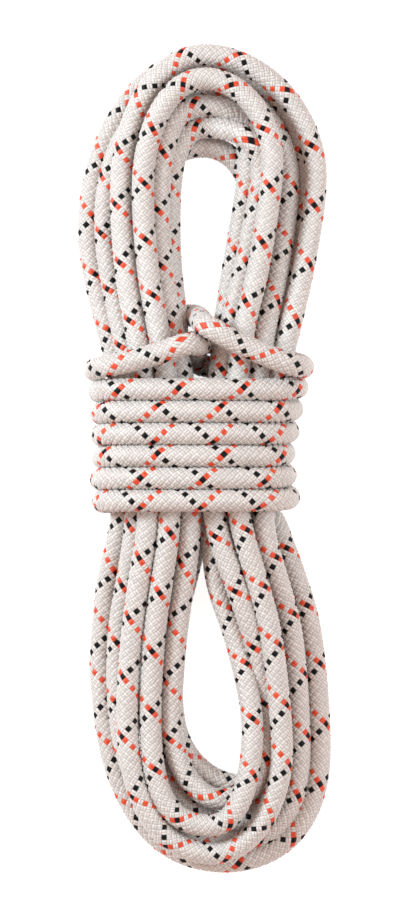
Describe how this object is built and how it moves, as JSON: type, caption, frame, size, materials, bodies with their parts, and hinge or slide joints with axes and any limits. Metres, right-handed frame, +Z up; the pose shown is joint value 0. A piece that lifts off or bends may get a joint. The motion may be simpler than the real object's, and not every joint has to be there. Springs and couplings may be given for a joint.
{
  "type": "climbing rope",
  "caption": "Kernmantle climbing rope put away as a flat hank: long loops drawn in at the waist by wraps, with the last stretch locked through one eye.",
  "frame": {"origin": "centre of the hank's footprint, on the floor that it lies on", "axes": "+X across the hank, +Y along it towards the eye that the lock goes through, +Z up from the floor"},
  "size_m": [0.116, 0.3754, 0.0553],
  "materials": {
    "sheath_yarn": "braided white nylon with one orange and one black carrier, semi-gloss",
    "core_yarn": "twisted white nylon",
    "shrink_sleeve": "satin shrunk tube",
    "melted_nylon": "glossy melted yarn ends"
  },
  "bodies": {
    "root": {"hank_sheath": "sheath_yarn", "hank_core": "core_yarn", "wrap_sheath": "sheath_yarn", "wrap_core": "core_yarn", "lock_sheath": "sheath_yarn", "lock_core": "core_yarn", "start_end_sleeve": "shrink_sleeve", "start_end_seal": "melted_nylon", "tail_end_sleeve": "shrink_sleeve", "tail_end_seal": "melted_nylon"}
  },
  "joints": []
}
